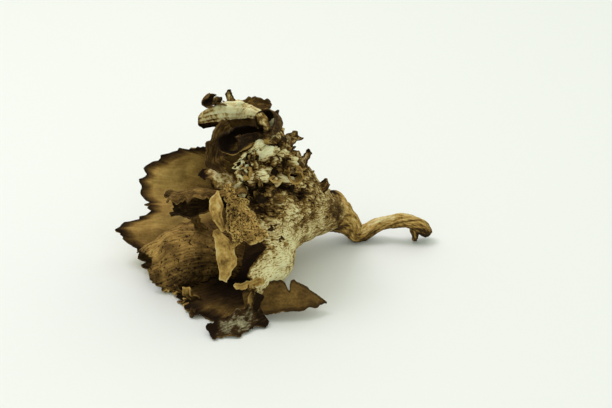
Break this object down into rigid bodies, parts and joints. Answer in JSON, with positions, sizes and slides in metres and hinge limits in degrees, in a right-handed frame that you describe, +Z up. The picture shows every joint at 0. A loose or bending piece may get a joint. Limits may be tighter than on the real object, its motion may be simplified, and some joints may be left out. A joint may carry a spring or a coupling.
{
  "type": "dried mushroom",
  "caption": "Dried horn of plenty mushroom lying on its side: a thin hollow trumpet with a torn, rolled and curled margin round its open mouth, and a hooked stem.",
  "frame": {"origin": "under the middle of the mushroom, on the surface that it lies on", "axes": "+Z up; the open mouth faces -X and a little -Y; the stem trails off to +X"},
  "size_m": [0.0666, 0.0458, 0.0417],
  "materials": {
    "dried_flesh": "matte"
  },
  "bodies": {
    "root": {"horn_of_plenty": "dried_flesh"}
  },
  "joints": []
}
